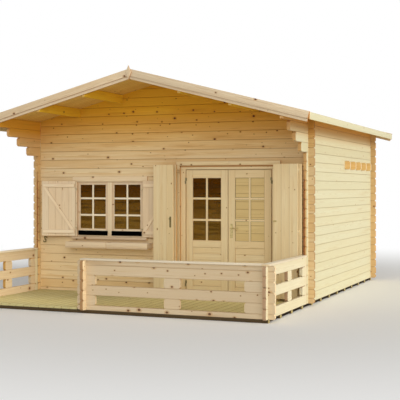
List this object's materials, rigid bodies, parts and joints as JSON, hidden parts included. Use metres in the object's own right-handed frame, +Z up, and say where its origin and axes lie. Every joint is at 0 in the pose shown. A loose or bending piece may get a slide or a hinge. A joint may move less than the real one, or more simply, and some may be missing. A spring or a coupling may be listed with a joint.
{
  "type": "log cabin chalet",
  "caption": "Small log chalet with interlocking notched corners, a low gabled roof carried forward on stepped brackets, a railed veranda, a double door and a shuttered window.",
  "frame": {"origin": "middle of the footprint at the underside of the floor joists, under the centre of the bounding box", "axes": "+X to the right along the front as seen from outside, +Y from the veranda to the back wall, +Z up"},
  "size_m": [5.21, 6.334, 3.4129],
  "materials": {
    "log_spruce": "planed raw spruce, satin",
    "rail_spruce": "planed raw spruce, satin",
    "trim_spruce": "planed pale spruce, satin",
    "floor_boards": "treated boards, matt",
    "joist_timber": "treated timber, matt",
    "roof_boards": "planed boards, matt",
    "window_glass": "clear, dark room behind",
    "hinge_steel": "zinc plated",
    "brass_fitting": "polished, slightly dull"
  },
  "bodies": {
    "cabin": {"floor_joists": "joist_timber", "interior_floor": "floor_boards", "veranda_deck": "floor_boards", "front_wall_left": "log_spruce", "front_wall_right": "log_spruce", "front_wall_over_door": "log_spruce", "front_gable": "log_spruce", "back_wall": "log_spruce", "back_gable": "log_spruce", "left_wall": "log_spruce", "right_wall": "log_spruce", "loft_joists": "log_spruce", "purlins": "log_spruce", "roof_left": "roof_boards", "roof_right": "roof_boards", "bargeboards": "trim_spruce", "bargeboard_covers": "trim_spruce", "ridge_diamonds": "trim_spruce", "eave_fascias": "trim_spruce", "front_rail": "rail_spruce", "right_rail": "rail_spruce", "left_rail": "rail_spruce", "rail_planks": "rail_spruce", "rail_posts": "rail_spruce", "door_frame": "trim_spruce", "door_casing": "trim_spruce", "door_hinge_pins": "hinge_steel", "folding_shutter_left": "trim_spruce", "folding_shutter_right": "trim_spruce", "window_frame": "trim_spruce", "window_casing": "trim_spruce", "window_sashes": "trim_spruce", "window_glass": "window_glass", "window_sill": "trim_spruce", "planter_box": "trim_spruce", "shutter_right": "trim_spruce", "shutter_hinge_pins": "hinge_steel"},
    "door_left": {"door_left": "trim_spruce", "door_left_glass": "window_glass", "door_left_panel": "trim_spruce"},
    "door_right": {"door_right": "trim_spruce", "door_right_boards": "trim_spruce", "door_right_panel": "trim_spruce", "door_handle": "brass_fitting"},
    "window_shutter_left": {"shutter_left": "trim_spruce"}
  },
  "joints": [
    {"name": "door_left_hinge", "type": "hinge", "parent": "cabin", "child": "door_left", "pos_m": [0.339, -1.246, 1], "axis": [0, 0, -1], "range_deg": [0, 90]},
    {"name": "door_right_hinge", "type": "hinge", "parent": "cabin", "child": "door_right", "pos_m": [1.691, -1.246, 1], "axis": [0, 0, 1], "range_deg": [0, 90]},
    {"name": "window_shutter_hinge", "type": "hinge", "parent": "cabin", "child": "window_shutter_left", "pos_m": [-1.518, -1.2823, 1.3], "axis": [0, 0, 1], "range_deg": [0, 166]}
  ]
}
